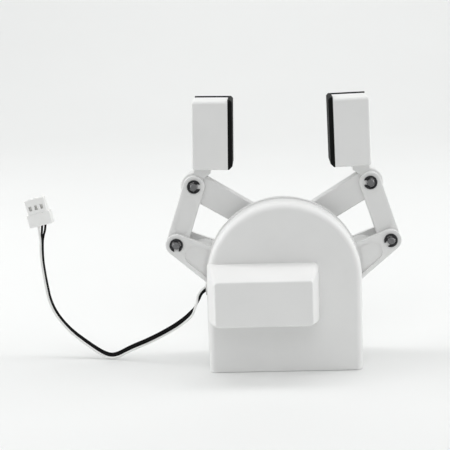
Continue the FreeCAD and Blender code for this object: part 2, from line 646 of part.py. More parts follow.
def gear_sector(name, side):
    """Involute teeth over the part of the rim that meets the other arm's teeth, on a rim disc.

    The left arm has a tooth on the line of centres at rest and the right arm a gap. Closing
    brings the higher teeth into mesh, so the sector reaches further up than down."""
    pitch, step = number(PITCH_RADIUS), 2 * math.pi / number("tooth_count")
    flank = tooth_flank()
    inward, places = (0.0, [-2, -1, 0, 1, 2, 3, 4]) if side == LEFT else (
        math.pi, [-2.5, -1.5, -0.5, 0.5, 1.5, 2.5, 3.5])
    front, thickness = number("gear_front_y"), number("gear_rear_y - gear_front_y")
    centre = FreeCAD.Vector(side * pitch, front, number("pivot_height"))

    def polar(radius, angle):
        return centre + FreeCAD.Vector(radius * math.cos(angle), 0, radius * math.sin(angle))

    root = flank[0][0]
    solids = [Part.makeCylinder(root + 0.02, thickness, centre, Y_AXIS)]
    for tooth in places:
        turn = inward - side * tooth * step
        low = [polar(radius, turn - angle) for radius, angle in flank]
        high = [polar(radius, turn + angle) for radius, angle in flank]
        heart = polar(root - 2, turn)
        edges = [
            Part.Arc(*low).toShape(),
            Part.LineSegment(low[2], high[2]).toShape(),
            Part.Arc(*reversed(high)).toShape(),
            Part.LineSegment(high[0], heart).toShape(),
            Part.LineSegment(heart, low[0]).toShape(),
        ]
        solids.append(Part.Face(Part.Wire(edges)).extrude(Y_AXIS * thickness))
    feature = doc.addObject("Part::Feature", name)
    feature.Shape = solids[0].multiFuse(solids[1:]).removeSplitter()
    return feature


def gear_arm(side, side_name):
    """A lower arm: two cheeks from a wide hub to the coupler's pin, a web and a gear sector."""
    node = f"{side_name}_gear_arm"
    body = new_body(f"{node}_cheeks")
    hub, end = across(side, ARM_PIVOT), across(side, COUPLER_LOW)
    heel = (hub[0], "arm_hub_height")
    toward_end = (f"{hub[0]} + 0.75 * ({end[0]} - {hub[0]})", f"arm_hub_height + 0.75 * ({end[1]} - arm_hub_height)")
    inner_front, inner_rear = "arms_front_y + cheek", "arms_rear_y - cheek"
    pad(body, "hub", "FRONT", "arms_front_y", "arms_rear_y", lambda o: o.circle(*hub, "8"))
    for name, start, stop in (("front_cheek", "arms_front_y", inner_front),
                              ("rear_cheek", inner_rear, "arms_rear_y")):
        pad(body, name, "FRONT", start, stop,
            lambda o: o.hull(*heel, "arm_hub_radius", *end, "arm_end_radius"))
    front = number("arms_front_y")
    round_edges(body, "rim_round", "0.4", lambda e: lies_at(e, "Y", front) and e.Length > 5)
    pad(body, "web", "FRONT", f"{inner_front} - 0.3", f"{inner_rear} + 0.3",
        lambda o: o.hull(*hub, "arm_hub_radius - 0.25", *along_arm(side, "arm_length - 12.8"), "6.25"))
    pocket(body, "front_recess", "FRONT", "arms_front_y", "arms_front_y + 0.8",
           lambda o: o.hull(*heel, "arm_hub_radius - 1.8", *toward_end, "4.2"))
    solid = fuse(f"{node}_blank", [body, gear_sector(f"{node}_teeth", side)])
    bore_radius = "pin_radius + running_clearance"
    holes = [rod(f"{node}_end_bore", end[0], "arms_front_y - 1", end[1], "pin_radius + 0.02", "arms_rear_y + 2")]
    if side == RIGHT:
        holes.append(rod(f"{node}_bore", hub[0], "arms_front_y - 1", hub[1], bore_radius, "arms_rear_y + 2"))
    else:
        holes += [
            rod(f"{node}_horn_seat", hub[0], "arms_front_y - 1", hub[1], "horn_radius + 0.02", "3.15"),
            rod(f"{node}_hub_seat", hub[0], "arms_front_y", hub[1], "3.42", "4.05"),
            rod(f"{node}_screw_way", hub[0], "arms_front_y", hub[1], "2.1", "arms_rear_y - 5.4 - arms_front_y"),
            rod(f"{node}_rear_bore", hub[0], "arms_rear_y - 5.6", hub[1], bore_radius, "8"),
        ]
    return keep(cut(node, solid, fuse(f"{node}_holes", holes)), node)


def linkage_pin(node, x, z, front, rear):
    """A pin with a flat head at the back and a groove for a clip in front of the parts it holds."""
    groove = f"{front} - clip_thickness - 0.1"
    tip = f"{groove} - 0.9"
    body = turned(node, (
        ("0", tip), ("pin_radius - 0.25", tip), ("pin_radius", f"{tip} + 0.25"), ("pin_radius", groove),
        ("groove_radius", groove), ("groove_radius", f"{front} - 0.05"), ("pin_radius", f"{front} - 0.05"),
        ("pin_radius", rear), ("pin_head_radius", rear), ("pin_head_radius", f"{rear} + 0.7"),
        ("0", f"{rear} + 0.7")))
    place(body, x, "0", z)
    return keep(body, node)


CLIP_RELIEF_ANGLES = (95, 118, 141)


def retaining_clip(node, x, z, front, opening):
    """An E-shaped ring that opens towards the given angle, in degrees from +X, and grips with three prongs."""
    start, thick = f"{front} - clip_thickness - 0.075", "clip_thickness"
    ring = cut(f"{node}_ring", rod(f"{node}_rim", "0", "0", "0", "clip_radius", thick),
               rod(f"{node}_bore", "0", "0", "0", "groove_radius", thick))
    slot = block(f"{node}_slot", "0", "0", "-0.85 * groove_radius", "clip_radius + 1", thick, "1.7 * groove_radius")
    reliefs = []
    for side in (LEFT, RIGHT):
        for angle in CLIP_RELIEF_ANGLES:
            along, up = math.cos(math.radians(angle)), side * math.sin(math.radians(angle))
            reliefs.append(rod(f"{node}_relief_{len(reliefs)}", f"clip_relief_reach * {along:.4f}", "0",
                               f"clip_relief_reach * {up:.4f}", "clip_relief_radius", thick))
    clip = cut(node, ring, fuse(f"{node}_cuts", [slot, *reliefs]))
    clip.Placement = FreeCAD.Placement(FreeCAD.Vector(), FreeCAD.Rotation(Y_AXIS, -opening))
    place(clip, x, start, z)
    return keep(clip, node)


# ---------------------------------------------------------------- links, couplers and fingers

def upper_link(side, side_name):
    """The solid bar that keeps a coupler upright."""
    node = f"{side_name}_upper_link"
    body = new_body(node)
    inner, outer = across(side, LINK_PIVOT), across(side, COUPLER_HIGH)
    pad(body, "bar", "FRONT", LINK_FRONT, LINK_REAR,
        lambda o: o.hull(*inner, "link_inner_radius", *outer, "link_radius"))
    front, rear = number(LINK_FRONT), number(LINK_REAR)
    round_edges(body, "bar_round", "0.7", lambda e: lies_at(e, "Y", front) or lies_at(e, "Y", rear))
    pocket(body, "inner_bore", "FRONT", LINK_FRONT, LINK_REAR,
           lambda o: o.circle(*inner, "pin_radius + running_clearance"))
    pocket(body, "outer_bore", "FRONT", LINK_FRONT, LINK_REAR,
           lambda o: o.circle(*outer, "pin_radius + open_pivot_clearance"))
    return keep(body, node)


COUPLER_FRONT = "(arms_front_y + cheek + layer_gap)"
COUPLER_REAR = "(arms_rear_y - cheek - layer_gap)"


FINGER_SCREW_Y = "((neck_front_y + neck_rear_y) / 2)"
FINGER_SCREW_Z = [f"({COUPLER_HIGH[1]} + {height})" for height in ("finger_screw_low", "finger_screw_high")]


def cross_holes(body, name, side, near, far, radius):
    """The two round holes along X for a finger's screws, between two distances from the middle."""
    start, end = (near, far) if side == RIGHT else (f"-({far})", f"-({near})")
    return pocket(body, name, "SIDE", start, end,
                  lambda o: [o.circle(FINGER_SCREW_Y, z, radius) for z in FINGER_SCREW_Z])


def coupler(side, side_name):
    """The upright member between arm and link, with the neck and tongue that hold the finger."""
    node = f"{side_name}_coupler"
    body = new_body(node)
    low, high = across(side, COUPLER_LOW), across(side, COUPLER_HIGH)
    slot_front, slot_rear = f"({COUPLER_FRONT} + coupler_cheek)", f"({COUPLER_REAR} - coupler_cheek)"
    for name, start, stop in (("front_cheek", COUPLER_FRONT, slot_front), ("rear_cheek", slot_rear, COUPLER_REAR)):
        pad(body, name, "FRONT", start, stop, lambda o: o.hull(*low, "arm_end_radius", *high, "arm_end_radius"))
    front, rear = number(COUPLER_FRONT), number(COUPLER_REAR)
    round_edges(body, "cheek_round", "0.5", lambda e: lies_at(e, "Y", front) or lies_at(e, "Y", rear))
    step, first, last = ((f"({low[0]}) - {side} * coupler_in * {share}", f"({low[1]}) + coupler_up * {share}")
                         for share in (0.1, 0.27, 0.73))
    pocket(body, "front_recess", "FRONT", COUPLER_FRONT, f"{COUPLER_FRONT} + 0.4",
           lambda o: o.hull(*first, "2.7", *last, "2.69"))
    pad(body, "web", "FRONT", f"{slot_front} - 0.3", f"{slot_rear} + 0.3",
        lambda o: o.hull(*low, "arm_end_radius - 0.5", *step, "arm_end_radius - 0.5"))
    shoulder = [on_finger(side, u, v) for u, v in (
        ("-neck_width", "link_radius - 0.2"), ("-3.2", "2.6"), ("-neck_inset", "2.6"),
        ("-neck_inset", "link_radius + 1"), ("-neck_width", "link_radius + 1"))]
    for name, start, stop in (("front_shoulder", "neck_front_y", f"{slot_front} + 0.01"),
                              ("rear_shoulder", f"{slot_rear} - 0.01", "neck_rear_y")):
        pad(body, name, "FRONT", start, stop, lambda o: o.polygon(*shoulder))
    pad(body, "neck", "FRONT", "neck_front_y", "neck_rear_y", lambda o: o.polygon(
        *finger_quad(side, "-neck_width", "link_radius + 0.6", "-neck_inset", "finger_low - 0.05")))
    pad(body, "tongue", "FRONT", "neck_front_y", "neck_rear_y", lambda o: o.polygon(
        *finger_quad(side, "-neck_width", "finger_low - 0.1", "-tongue_inset", "tongue_top")))
    cross_holes(body, "screw_pilots", side, "finger_screw_seat - 5.6", "finger_screw_seat + 1",
                "finger_screw_radius + 0.02")
    pocket(body, "low_bore", "FRONT", COUPLER_FRONT, COUPLER_REAR,
           lambda o: o.circle(*low, "pin_radius + running_clearance"))
    pocket(body, "high_bore", "FRONT", COUPLER_FRONT, COUPLER_REAR,
           lambda o: o.circle(*high, "pin_radius + 0.02"))
    return keep(body, node)


def finger(side, side_name):
    """The moulded finger over the coupler's tongue, its rubber pad and its screws."""
    outer, inner = "finger_outset", "finger_outset - finger_width"
    body = new_body(f"{side_name}_finger")
    pad(body, "shell", "FRONT", "finger_front_y", "finger_rear_y",
        lambda o: o.polygon(*finger_quad(side, inner, "finger_low", outer, "finger_high")))
    top = number(on_finger(side, outer, "finger_high")[1])
    bottom = number(on_finger(side, outer, "finger_low")[1])
    front, rear = number("finger_front_y"), number("finger_rear_y")
    inner_x = abs(number(on_finger(side, inner, "finger_low")[0]))

    def outer_edge(edge):
        """Every edge but those round the pad's face."""
        box = edge.BoundBox
        return max(abs(box.XMin), abs(box.XMax)) > inner_x + 0.5

    round_edges(body, "top_round", "1.3", lambda e: outer_edge(e) and e.BoundBox.ZMin > top - 1)
    round_edges(body, "low_round", "1.1", lambda e: outer_edge(e) and e.BoundBox.ZMax < bottom + 1)
    round_edges(body, "side_round", "0.8",
                lambda e: outer_edge(e) and e.Length > 20 and (lies_at(e, "Y", front) or lies_at(e, "Y", rear)))
    pocket(body, "tongue_space", "FRONT", "neck_front_y - 0.05", "neck_rear_y + 0.05",
           lambda o: o.polygon(*finger_quad(side, "-neck_width - 0.05", "finger_low - 0.5",
                                            "0.05 - tongue_inset", "tongue_top + 0.05")))
    cross_holes(body, "screw_ways", side, "finger_screw_seat - 2", "finger_screw_seat + 3",
                "finger_screw_radius + 0.15")
    cross_holes(body, "screw_seats", side, "finger_screw_seat", "finger_screw_seat + 3",
                "finger_screw_head_radius + 0.15")
    keep(body, f"{side_name}_finger")

    rubber = new_body(f"{side_name}_finger_pad")
    face, top = f"{inner} - pad_thickness", "finger_high + pad_lip"
    corners = ((inner, "finger_low + 0.1"), (f"{face} + pad_chamfer", "finger_low + 0.1"),
               (face, "finger_low + 0.2 + pad_chamfer"), (face, f"{top} - 0.9"), (f"{face} + 0.8", top), (inner, top))
    pad(rubber, "face", "FRONT", "finger_front_y + 0.15", "finger_rear_y + pad_rear_flange",
        lambda o: o.polygon(*(on_finger(side, u, v) for u, v in corners)))
    front = number("finger_front_y + 0.15")
    seam_x = abs(number(on_finger(side, inner, "finger_high")[0]))
    round_edges(rubber, "face_round", "0.6",
                lambda e: lies_at(e, "Y", front) and min(abs(e.BoundBox.XMin), abs(e.BoundBox.XMax)) < seam_x - 0.8)
    pad(rubber, "back", "FRONT", "finger_rear_y", "finger_rear_y + pad_rear_flange",
        lambda o: o.polygon(*finger_quad(side, f"{inner} - 0.4", "finger_low + 0.4", f"{outer} - 0.6", top)))
    keep(rubber, f"{side_name}_finger_pad")


def finger_screws(side, side_name):
    """Two screws from the outer side through the finger into the tongue."""
    node, items = f"{side_name}_finger_screws", []
    for index, z in enumerate(FINGER_SCREW_Z, start=1):
        parts = []
        for name, near, length, radius in (
                ("shank", "finger_screw_seat - 5.2", "5.4", "finger_screw_radius"),
                ("head", "finger_screw_seat", "0.9", "finger_screw_head_radius"),
                ("socket", "finger_screw_seat + 0.4", "0.5", "finger_screw_radius * 0.8")):
            cylinder = doc.addObject("Part::Cylinder", f"{node}_{index}_{name}")
            cylinder.setExpression("Radius", formula(radius))
            cylinder.setExpression("Height", formula(length))
            cylinder.Placement = FreeCAD.Placement(FreeCAD.Vector(), FreeCAD.Rotation(Y_AXIS, side * 90))
            place(cylinder, f"{side} * ({near})", FINGER_SCREW_Y, z)
            parts.append(cylinder)
        shank, head, socket = parts
        items.append(cut(f"{node}_{index}", fuse(f"{node}_{index}_solid", [shank, head]), socket))
    return keep(group(node, items), node)


# ---------------------------------------------------------------- lead

def lead_grommet():
    """The rubber bush in the shell's side that the lead comes out of."""
    body = new_body("lead_grommet")
    side_x = "(-body_width / 2)"
    pad(body, "bush", "SIDE", f"{side_x} - 0.9", f"{side_x} + wall",
        lambda o: o.rounded("exit_y - 1.9", "exit_z - 2.55", "shell_rear_y - 0.02", "exit_z + 2.55", "0.9"))
    pad(body, "flange", "SIDE", f"{side_x} + wall + 0.05", f"{side_x} + wall + 1",
        lambda o: o.rectangle("exit_y - 2.6", "exit_z - 3.4", "shell_rear_y - 0.02", "exit_z + 3.4"))
    pad(body, "core", "SIDE", f"{side_x} + wall - 0.1", f"{side_x} + wall + 0.2",
        lambda o: o.rectangle("exit_y - 1.7", "exit_z - 2.3", "shell_rear_y - 0.02", "exit_z + 2.3"))
    return keep(body, "lead_grommet")


def lead():
    """A tube of straight runs joined by tangent arcs, as large as the runs allow."""
    points = [FreeCAD.Vector(*point) for point in LEAD_ROUTE]
    radius = number("lead_diameter") / 2
    edges, radii, start = [], [], points[0]
    for before, corner, after in zip(points, points[1:], points[2:]):
        arriving, leaving = corner - before, after - corner
        turn = arriving.getAngle(leaving)
        reach = 0.45 * min(arriving.Length, leaving.Length)
        bend = reach / math.tan(turn / 2)
        arriving.normalize()
        leaving.normalize()
        entry, way_out = corner - arriving * reach, corner + leaving * reach
        middle = (leaving - arriving).normalize()
        centre = corner + middle * math.hypot(bend, reach)
        edges.append(Part.LineSegment(start, entry).toShape())
        edges.append(Part.Arc(entry, centre - middle * bend, way_out).toShape())
        radii.append(bend)
        start = way_out
    edges.append(Part.LineSegment(start, points[-1]).toShape())
    wire = Part.Wire(edges)
    section = Part.Wire([Part.Circle(points[0], points[1] - points[0], radius).toShape()])
    tube = wire.makePipeShell([section], True, False)
    feature = doc.addObject("Part::Feature", "lead")
    feature.Shape = tube
    expected = math.pi * radius ** 2 * wire.Length
    print("lead length", round(wire.Length, 1), "mm, bend radii", [round(bend, 1) for bend in radii])
    print("lead volume", round(tube.Volume, 1), "against section times length", round(expected, 1))
    print("lead low and high", round(tube.BoundBox.ZMin, 2), round(tube.BoundBox.ZMax, 2))
    return keep(feature, "lead")


def plug():
    """The three-way connector housing on the lead's end, and its contacts."""
    end = FreeCAD.Vector(*LEAD_ROUTE[-1])
    tilt = FreeCAD.Rotation(Y_AXIS, number("plug_tilt"))
    half, depth = "plug_width / 2", "plug_depth / 2"
    housing = new_body("plug_housing")
    pad(housing, "skirt", "TOP", "0", "5.4", lambda o: o.rounded(f"-{half}", f"-{depth}", half, depth, "0.5"))
    pad(housing, "nose", "TOP", "5.2", "plug_length",
        lambda o: o.rounded(f"-{half} + 0.8", f"-{depth} + 0.5", f"{half} - 0.8", f"{depth} - 0.7", "0.4"))
    ways = ("-2.5", "0", "2.5")
    pocket(housing, "cavities", "TOP", "0.8", "plug_length",
           lambda o: [o.rectangle(f"{x} - 0.85", "-1.0", f"{x} + 0.85", "0.8") for x in ways])
    pocket(housing, "wire_ways", "TOP", "0", "1",
           lambda o: [o.circle(x, "0", "0.62") for x in ("-2.5", "2.5")] + [o.circle("0", "0", "0.62")])
    pocket(housing, "windows", "FRONT", f"-{depth}", "-1",
           lambda o: [o.rectangle(f"{x} - 0.6", "7", f"{x} + 0.6", "9") for x in ways])
    housing.Placement = FreeCAD.Placement(end, tilt)
    keep(housing, "plug_housing")
    contacts = []
    for index, x in enumerate(ways, start=1):
        contact = new_body(f"contact_{index}")
        pad(contact, "box", "TOP", "3", "plug_length - 1", lambda o: o.rectangle(
            f"{x} - 0.75", "-0.9", f"{x} + 0.75", "0.7"))
        pocket(contact, "socket", "TOP", "5", "plug_length - 1", lambda o: o.rectangle(
            f"{x} - 0.5", "-0.65", f"{x} + 0.5", "0.45"))
        contact.Placement = FreeCAD.Placement(end, tilt)
        contacts.append(contact)
    keep(group("plug_contacts", contacts), "plug_contacts")


# ---------------------------------------------------------------- the whole gripper

front_shell()
bearing_plate()
rear_shell()
pivot_pins()
driven_arm_pin()
link_spacers()
threaded_inserts()
screws("cover_screws", SCREW_PLACES, "cover_rear_y - 0.2 - cover_screw_head - 25", "25",
       "cover_screw_radius - 0.03", "cover_screw_head_radius", "cover_screw_head", head_first=False)
servo()
servo_output()
OPENINGS = {"left": (0, -90), "right": (180, 225)}
for side, side_name in ((LEFT, "left"), (RIGHT, "right")):
    upper_opening, lower_opening = OPENINGS[side_name]
    gear_arm(side, side_name)
    upper_link(side, side_name)
    coupler(side, side_name)
    finger(side, side_name)
    finger_screws(side, side_name)
    low, high = across(side, COUPLER_LOW), across(side, COUPLER_HIGH)
    linkage_pin(f"{side_name}_arm_pin", *low, "arms_front_y", "arms_rear_y")
    retaining_clip(f"{side_name}_arm_clip", *low, "arms_front_y", lower_opening)
    linkage_pin(f"{side_name}_finger_pin", *high, COUPLER_FRONT, COUPLER_REAR)
    retaining_clip(f"{side_name}_finger_clip", *high, COUPLER_FRONT, upper_opening)
lead_grommet()
lead()
plug()
doc.recompute()

# ---------------------------------------------------------------- checks and files

for item in doc.Objects:
    if "Invalid" in item.State or "Error" in item.State:
        raise RuntimeError(f"{item.Label} is {item.State}")
for node, item in NODES:
    if item.Shape.isNull() or not item.Shape.isValid() or item.Shape.Volume <= 0:
        raise RuntimeError(f"{node} has no valid shape")
os.makedirs("parts", exist_ok=True)
for node, item in NODES:
    item.Shape.exportStep(f"parts/{node}.step")
print(len(NODES), "sub-parts written")
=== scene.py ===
"""The looks of the two-finger parallel gripper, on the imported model's frame, in metres."""

import math

import bmesh
import bpy
from mathutils import Matrix, Vector


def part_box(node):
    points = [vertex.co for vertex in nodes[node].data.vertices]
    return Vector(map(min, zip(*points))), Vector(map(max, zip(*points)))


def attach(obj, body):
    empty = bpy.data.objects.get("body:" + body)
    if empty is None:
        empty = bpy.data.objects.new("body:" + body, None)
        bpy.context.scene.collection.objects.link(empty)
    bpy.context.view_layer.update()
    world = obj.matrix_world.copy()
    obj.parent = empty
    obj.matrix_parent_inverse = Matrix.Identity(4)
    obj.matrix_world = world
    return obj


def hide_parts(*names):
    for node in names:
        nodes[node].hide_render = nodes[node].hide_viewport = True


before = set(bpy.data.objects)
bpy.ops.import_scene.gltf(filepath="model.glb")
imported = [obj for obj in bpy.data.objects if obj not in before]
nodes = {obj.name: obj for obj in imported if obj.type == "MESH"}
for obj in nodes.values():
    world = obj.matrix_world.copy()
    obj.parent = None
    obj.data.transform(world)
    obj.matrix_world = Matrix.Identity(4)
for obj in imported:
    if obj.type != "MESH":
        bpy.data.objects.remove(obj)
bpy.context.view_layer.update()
MM = 0.001

# ---------------------------------------------------------------- camera

CAMERA_PLACE = Vector((-4.86, -513.45, 162.73)) * MM
CAMERA_YAW, CAMERA_PITCH, CAMERA_ROLL = (math.radians(a) for a in (-2.1, 11.25, -1.83))
CAMERA_LENS, SENSOR_WIDTH = 102.44, 36.0


def make_camera():
    """A camera that looks along +Y, turned by yaw, pitched down and rolled a little."""
    data = bpy.data.cameras.new("camera")
    data.sensor_width, data.lens = SENSOR_WIDTH, CAMERA_LENS
    data.clip_start, data.clip_end = 0.01, 20.0
    sin_yaw, cos_yaw = math.sin(CAMERA_YAW), math.cos(CAMERA_YAW)
    sin_pitch, cos_pitch = math.sin(CAMERA_PITCH), math.cos(CAMERA_PITCH)
    forward = Vector((sin_yaw * cos_pitch, cos_yaw * cos_pitch, -sin_pitch))
    level = Vector((cos_yaw, -sin_yaw, 0))
    upward = level.cross(forward)
    right = level * math.cos(CAMERA_ROLL) + upward * math.sin(CAMERA_ROLL)
    up = upward * math.cos(CAMERA_ROLL) - level * math.sin(CAMERA_ROLL)
    turn = Matrix((right, up, -forward)).transposed()
    camera = bpy.data.objects.new("camera", data)
    camera.matrix_world = Matrix.Translation(CAMERA_PLACE) @ turn.to_4x4()
    bpy.context.scene.collection.objects.link(camera)
    bpy.context.scene.camera = camera


# ---------------------------------------------------------------- materials

class Nodes:
    """A material's node tree, with short calls for the nodes used here."""

    def __init__(self, name):
        self.material = bpy.data.materials.new(name)
        self.material.use_nodes = True
        self.tree = self.material.node_tree
        self.shader = next(n for n in self.tree.nodes if n.type == "BSDF_PRINCIPLED")

    def new(self, kind, **values):
        """A node of the given kind, with values set as properties or, failing that, as inputs."""
        node = self.tree.nodes.new(kind)
        for key, value in values.items():
            if hasattr(node, key):
                setattr(node, key, value)
            else:
                node.inputs[key.replace("_", " ")].default_value = value
        return node

    def link(self, source, target):
        self.tree.links.new(source, target)

    def place(self, centre=(0, 0, 0), stretch=(1, 1, 1)):
        """Coordinates in metres from a point of the part, stretched per axis."""
        coords = self.new("ShaderNodeTexCoord")
        shift = self.new("ShaderNodeVectorMath", operation="SUBTRACT")
        scale = self.new("ShaderNodeVectorMath", operation="MULTIPLY")
        shift.inputs[1].default_value = centre
        scale.inputs[1].default_value = stretch
        self.link(coords.outputs["Object"], shift.inputs[0])
        self.link(shift.outputs[0], scale.inputs[0])
        return scale.outputs[0]

    def noise(self, vector, size, detail=3.0, roughness=0.55):
        """Noise whose features are about size metres across."""
        node = self.new("ShaderNodeTexNoise", Scale=1.0 / size, Detail=detail, Roughness=roughness)
        self.link(vector, node.inputs["Vector"])
        return node.outputs["Fac"]

    def spread(self, value, low, high, start=0.3, end=0.7):
        """Maps the range start to end of a value onto low to high."""
        node = self.new("ShaderNodeMapRange")
        for key, number in (("From Min", start), ("From Max", end), ("To Min", low), ("To Max", high)):
            node.inputs[key].default_value = number
        self.link(value, node.inputs["Value"])
        return node.outputs["Result"]

    def colours(self, value, *stops):
        """A colour ramp: each stop is a position and a colour."""
        node = self.new("ShaderNodeValToRGB")
        ramp = node.color_ramp
        while len(ramp.elements) < len(stops):
            ramp.elements.new(0.5)
        for element, (position, colour) in zip(ramp.elements, stops):
            element.position, element.color = position, (*colour, 1)
        self.link(value, node.inputs["Fac"])
        return node.outputs["Color"]

    def bump(self, *layers):
        """Stacks bump layers of (height value, strength, depth in metres)."""
        below = None
        for height, strength, depth in layers:
            node = self.new("ShaderNodeBump", Strength=strength, Distance=depth)
            self.link(height, node.inputs["Height"])
            if below:
                self.link(below, node.inputs["Normal"])
            below = node.outputs["Normal"]
        self.link(below, self.shader.inputs["Normal"])

    def use(self, colour=None, roughness=None, **fixed):
        """Connects the shader's colour and roughness, sets its fixed values and returns the material."""
        if colour is not None:
            self.link(colour, self.shader.inputs["Base Color"])
        if roughness is not None:
            self.link(roughness, self.shader.inputs["Roughness"])
        for key, value in fixed.items():
            self.shader.inputs[key.replace("_", " ")].default_value = value
        return self.material


def tint(colour, factor):
    """A colour made lighter or darker by a factor."""
    return tuple(channel * factor for channel in colour)


def moulded_plastic(name, colour, gloss=0.46, grain=0.35, streak=(1, 1, 1)):
    """Satin moulded plastic: faint flow marks, a fine eroded grain and small changes of gloss."""
    n = Nodes(name)
    at, along = n.place(), n.place(stretch=streak)
    cloud, flow = n.noise(at, 0.018), n.noise(along, 0.006, 2.0)
    fine, pits = n.noise(at, grain * MM, 2.0), n.noise(at, 0.12 * MM, 1.0)
    colour_now = n.colours(cloud, (0.25, tint(colour, 0.975)), (0.5, colour), (0.75, tint(colour, 1.015)))
    n.bump((flow, 0.05, 0.05 * MM), (fine, 0.10, 0.02 * MM), (pits, 0.06, 0.008 * MM))
    return n.use(colour_now, n.spread(fine, gloss - 0.05, gloss + 0.07), IOR=1.49)


def rubber(name, colour, grain=0.5):
    """Matt rubber with a fine skin and a little dust."""
    n = Nodes(name)
    at = n.place()
    skin, dust = n.noise(at, grain * MM, 4.0, 0.7), n.noise(at, 0.006, 3.0)
    colour_now = n.colours(dust, (0.3, tint(colour, 0.8)), (0.6, colour), (0.85, tint(colour, 1.7)))
    n.bump((skin, 0.35, 0.03 * MM))
    return n.use(colour_now, n.spread(skin, 0.55, 0.78), IOR=1.22)


def metal(name, colour, roughness=0.3, centre=(0, 0, 0), rings=0.0, grime=0.8):
    """Metal with slight staining and, where rings is set, lathe rings about Y through centre."""
    n = Nodes(name)
    at = n.place(centre)
    stain, grit = n.noise(at, 0.0016, 4.0), n.noise(at, 0.15 * MM, 2.0)
    colour_now = n.colours(stain, (0.28, tint(colour, grime)), (0.55, colour), (0.8, tint(colour, 1.06)))
    layers = [(grit, 0.12, 0.01 * MM)]
    if rings:
        wave = n.new("ShaderNodeTexWave", wave_type="RINGS", rings_direction="SPHERICAL",
                     Scale=1.0 / rings / 3.0, Distortion=0.6, Detail=1.0)
        n.link(n.place(centre, stretch=(1, 0, 1)), wave.inputs["Vector"])
        layers.insert(0, (wave.outputs["Fac"], 0.25, 0.012 * MM))
    n.bump(*layers)
    return n.use(colour_now, n.spread(stain, roughness - 0.06, roughness + 0.12), Metallic=1.0)


def circuit_board(name):
    """Green lacquer over copper tracks."""
    n = Nodes(name)
    at = n.place(stretch=(1, 0.2, 1))
    tracks = n.new("ShaderNodeTexBrick", Scale=420.0, Mortar_Size=0.12)
    tracks.inputs["Color1"].default_value = (0.02, 0.16, 0.07, 1)
    tracks.inputs["Color2"].default_value = (0.02, 0.13, 0.06, 1)
    tracks.inputs["Mortar"].default_value = (0.05, 0.28, 0.12, 1)
    n.link(at, tracks.inputs["Vector"])
    n.bump((tracks.outputs["Fac"], 0.3, 0.02 * MM))
    return n.use(tracks.outputs["Color"], n.spread(n.noise(at, 0.002), 0.25, 0.4))


def knurled_brass(name):
    """Brass with a fine knurl."""
    n = Nodes(name)
    at = n.place()
    wave = n.new("ShaderNodeTexWave", Scale=900.0, Distortion=0.4)
    n.link(at, wave.inputs["Vector"])
    stain = n.noise(at, 0.002)
    colour_now = n.colours(stain, (0.3, (0.48, 0.33, 0.13)), (0.6, (0.68, 0.5, 0.22)))
    n.bump((wave.outputs["Fac"], 0.4, 0.05 * MM))
    return n.use(colour_now, n.spread(stain, 0.25, 0.42), Metallic=1.0)


WHITE = (0.80, 0.80, 0.795)
LINK_WHITE = (0.79, 0.79, 0.785)
BLACK_RUBBER = (0.0045, 0.005, 0.0048)
PIN_STEEL = (0.20, 0.20, 0.205)
LATHE_PITCH = 0.12 * MM

make_camera()
shell_white = moulded_plastic("shell_white", WHITE)
link_white = moulded_plastic("link_white", LINK_WHITE, gloss=0.42, grain=0.28, streak=(0.5, 1, 1.6))
PAINT = {
    shell_white: ("front_shell", "bearing_plate", "rear_shell", "left_finger", "right_finger"),
    link_white: ("left_gear_arm", "right_gear_arm", "left_upper_link", "right_upper_link", "left_coupler",
                 "right_coupler"),
    moulded_plastic("spacer_nylon", (0.74, 0.74, 0.71), gloss=0.36): ("link_spacers",),
    moulded_plastic("plug_white", (0.90, 0.90, 0.89), gloss=0.5, grain=0.2): ("plug_housing",),
    rubber("pad_rubber", BLACK_RUBBER): ("left_finger_pad", "right_finger_pad"),
    rubber("grommet_rubber", (0.66, 0.66, 0.65), grain=0.3): ("lead_grommet",),
    moulded_plastic("servo_plastic", (0.018, 0.02, 0.026), gloss=0.32, grain=0.5):
        ("servo_gear_case", "servo_end_cap"),
    metal("servo_alloy", (0.22, 0.23, 0.25), 0.36): ("servo_motor_case", "servo_horn"),
    metal("motor_steel", (0.55, 0.55, 0.56), 0.3): ("servo_motor", "servo_potentiometer"),
    circuit_board("board_green"): ("servo_circuit_board",),
    knurled_brass("insert_brass"): ("threaded_inserts",),
    metal("screw_zinc", (0.52, 0.53, 0.54), 0.3, grime=0.7):
        ("cover_screws", "servo_mounting_screws", "horn_screw", "left_finger_screws", "right_finger_screws"),
    metal("contact_tin", (0.86, 0.86, 0.84), 0.5): ("plug_contacts",),
    metal("clip_black", (0.045, 0.045, 0.048), 0.42, grime=0.6):
        ("left_arm_clip", "right_arm_clip", "left_finger_clip", "right_finger_clip"),
}


TURNED_PARTS = (
    "left_arm_pin", "right_arm_pin", "left_finger_pin", "right_finger_pin", "pivot_pins",
    "driven_arm_pin", "servo_output_shaft",
)


def centre_of(node):
    """The middle of a part's box."""
    low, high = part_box(node)
    return (Vector(low) + Vector(high)) / 2


def paint(name, material):
    """Gives a CAD part one material."""
    nodes[name].data.materials.clear()
    nodes[name].data.materials.append(material)


for material, names in PAINT.items():
    for name in names:
        paint(name, material)
for name in TURNED_PARTS:
    paint(name, metal(f"{name}_steel", PIN_STEEL, 0.36, centre=centre_of(name), rings=LATHE_PITCH))

# ---------------------------------------------------------------- soft edges on the CAD parts

